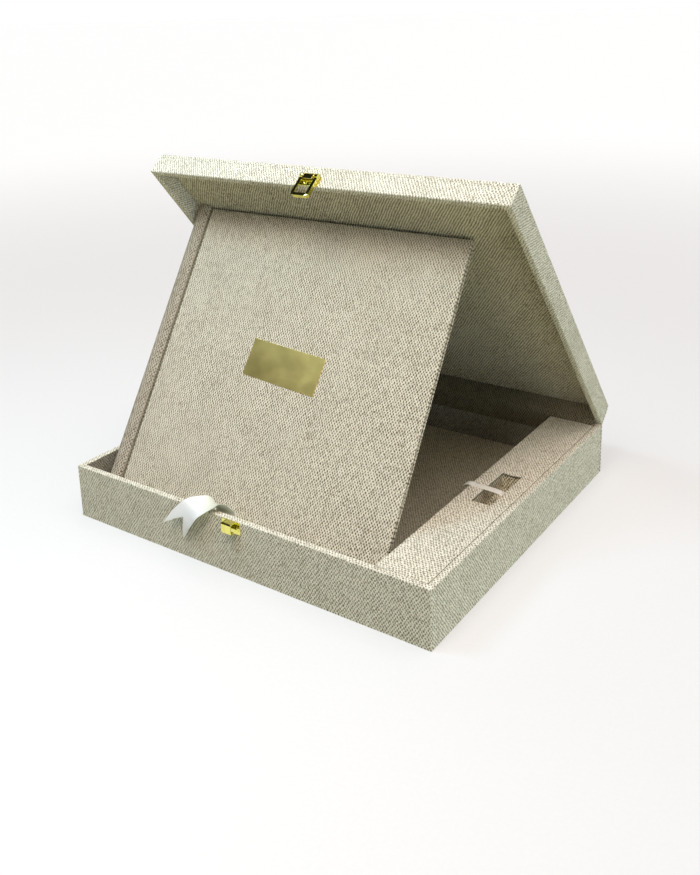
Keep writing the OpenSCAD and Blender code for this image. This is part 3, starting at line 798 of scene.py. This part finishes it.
def set_stage(paint):
    """A pale floor and backdrop, two softboxes, and broad light from above, the right and the floor."""
    bm = bmesh.new()
    bmesh.ops.create_grid(bm, x_segments=4, y_segments=4, size=200)
    bmesh.ops.translate(bm, vec=(0, 0, -0.0002), verts=bm.verts)
    mesh = bpy.data.meshes.new("studio_floor")
    bm.to_mesh(mesh)
    bm.free()
    mesh.materials.append(paint)
    floor = bpy.data.objects.new("studio_floor", mesh)
    bpy.context.scene.collection.objects.link(floor)
    floor.visible_diffuse = False

    for name, place, size, power, colour in (
        ("left_softbox", (-0.30, -0.38, 0.80), 0.30, 3.20, (0.535, 0.832, 1.0)),
        ("right_softbox", (0.10, -0.52, 0.80), 0.35, 3.20, (1.0, 0.89, 0.80)),
    ):
        lamp = bpy.data.lights.new(name, "AREA")
        lamp.shape, lamp.size, lamp.energy, lamp.color = "DISK", size, power, colour
        light = bpy.data.objects.new(name, lamp)
        light.location = place
        light.rotation_euler = (Vector((0, -0.1, 0.15)) - Vector(place)).to_track_quat("-Z", "Y").to_euler()
        bpy.context.scene.collection.objects.link(light)

    world = bpy.data.worlds.new("studio")
    world.use_nodes = True
    bpy.context.scene.world = world
    world.node_tree.nodes.clear()
    tree = Shade(world.node_tree)
    towards = tree.node("ShaderNodeTexCoord")
    x, y, z = (towards.part(axis) for axis in range(3))
    unlit = tree.node(
        "ShaderNodeVectorMath", {"operation": "DOT_PRODUCT"}, {0: towards, 1: (-0.55, -0.115, 0.823)}, 1
    )
    above = z.between(0.5, 0.9) * (1 - 0.99 * unlit.between(0.86, 0.94))
    right = z.between(-0.5, -0.2) * (1 - z.between(0.1, 0.5)) * x.between(0.2, 0.8)
    backdrop = z.between(-0.06, -0.02) * (1 - z.between(0.05, 0.1)) * (0.82 * y - 0.57 * x).between(0.6, 0.9)
    below = (-1 * z).between(0.35, 0.85)
    glows = (
        (above, (1.95, 1.76, 1.67)), (right, (1.24, 1.44, 1.46)), (backdrop, (1.2, 1.2, 1.2)),
        (below, (1.06, 1.04, 0.64)),
    )
    channels = {}
    for channel in range(3):
        a, b, c, d = (colour[channel] * glow for glow, colour in glows)
        channels[channel] = a + b + c + d
    sky = tree.node("ShaderNodeCombineXYZ", None, channels)
    # The sky lights the box, but it shows as plain white
    shine = tree.node("ShaderNodeBackground", None, {"Color": sky, "Strength": 1.0})
    paper = tree.node("ShaderNodeBackground", None, {"Color": (1.0, 1.0, 1.0, 1.0), "Strength": 1.0})
    seen = tree.node("ShaderNodeLightPath")
    studio = tree.node("ShaderNodeMixShader", None, {0: seen, 1: shine, 2: paper})
    tree.node("ShaderNodeOutputWorld", None, {"Surface": studio})
    bpy.context.scene.view_settings.view_transform = "Standard"


set_camera()
# The lift ribbon is tinted olive-grey up to its tail: painted shade on its crest and hidden part
satin_white = make_satin("satin_white", (0.94, 0.95, 0.93), (1.0, 1.0, 1.0), (0.72, 0.75, 0.62))
make_ribbons(satin_white, make_satin("satin_ivory", (0.64, 0.62, 0.53), (0.92, 0.90, 0.83)))

# Each linen's three tones: the pits between its yarns as painted shade, the yarns, and the yarns' crowns as a
# painted highlight
BOX_TONES, BOX_SLUB = ((0.25, 0.22, 0.15), (0.54, 0.50, 0.39), (0.86, 0.82, 0.70)), 2.4
# The tray's inner room, whose walls get painted shade
TRAY_SHADE_ROOM = tuple((half + LINING_PLAY) / 1000 for half in (IN_X, IN_Y))
box_linen = make_linen("box_linen", *BOX_TONES, BOX_SLUB)
tray_linen_shaded_inside = make_linen("tray_linen_shaded_inside", *BOX_TONES, BOX_SLUB, TRAY_SHADE_ROOM)
album_linen = make_linen("album_linen", (0.15, 0.12, 0.075), (0.47, 0.41, 0.30), (0.77, 0.70, 0.56))
floor_linen = make_linen("floor_linen", (0.27, 0.235, 0.16), (0.53, 0.47, 0.35), (0.80, 0.73, 0.585))
lining_linen = make_linen("lining_linen", (0.05, 0.04, 0.02), (0.40, 0.355, 0.245), (0.80, 0.74, 0.56))
# Near-black linen: painted shade, for the inner hinge strip and the album's joint groove
deep_shade_linen = make_linen("deep_shade_linen", (0.05, 0.04, 0.02), (0.15, 0.13, 0.08), (0.26, 0.23, 0.16))
make_tray(tray_linen_shaded_inside, box_linen, floor_linen, lining_linen)
make_hinge(box_linen, deep_shade_linen)
make_lid(box_linen, lining_linen)
# A darker copy of the album's linen for the spine: painted shade of the rounded spine
spine_shade_linen = make_linen("spine_shade_linen", (0.10, 0.075, 0.045), (0.33, 0.275, 0.20), (0.55, 0.48, 0.38))
plate_brass = make_brushed("plate_brass", (0.76, 0.52, 0.15), (0.99, 0.78, 0.29))
make_album(album_linen, spine_shade_linen, deep_shade_linen, plate_brass)

dress_solids(
    make_gold("clasp_gold", (0.64, 0.57, 0.09), (0.90, 0.86, 0.28), 0.09),
    make_board("grey_board", (0.24, 0.20, 0.15), (0.46, 0.40, 0.31)),
    make_pages("page_edges", (0.60, 0.56, 0.47), (0.90, 0.88, 0.80)),
)
set_stage(make_floor_paint("studio_paper"))
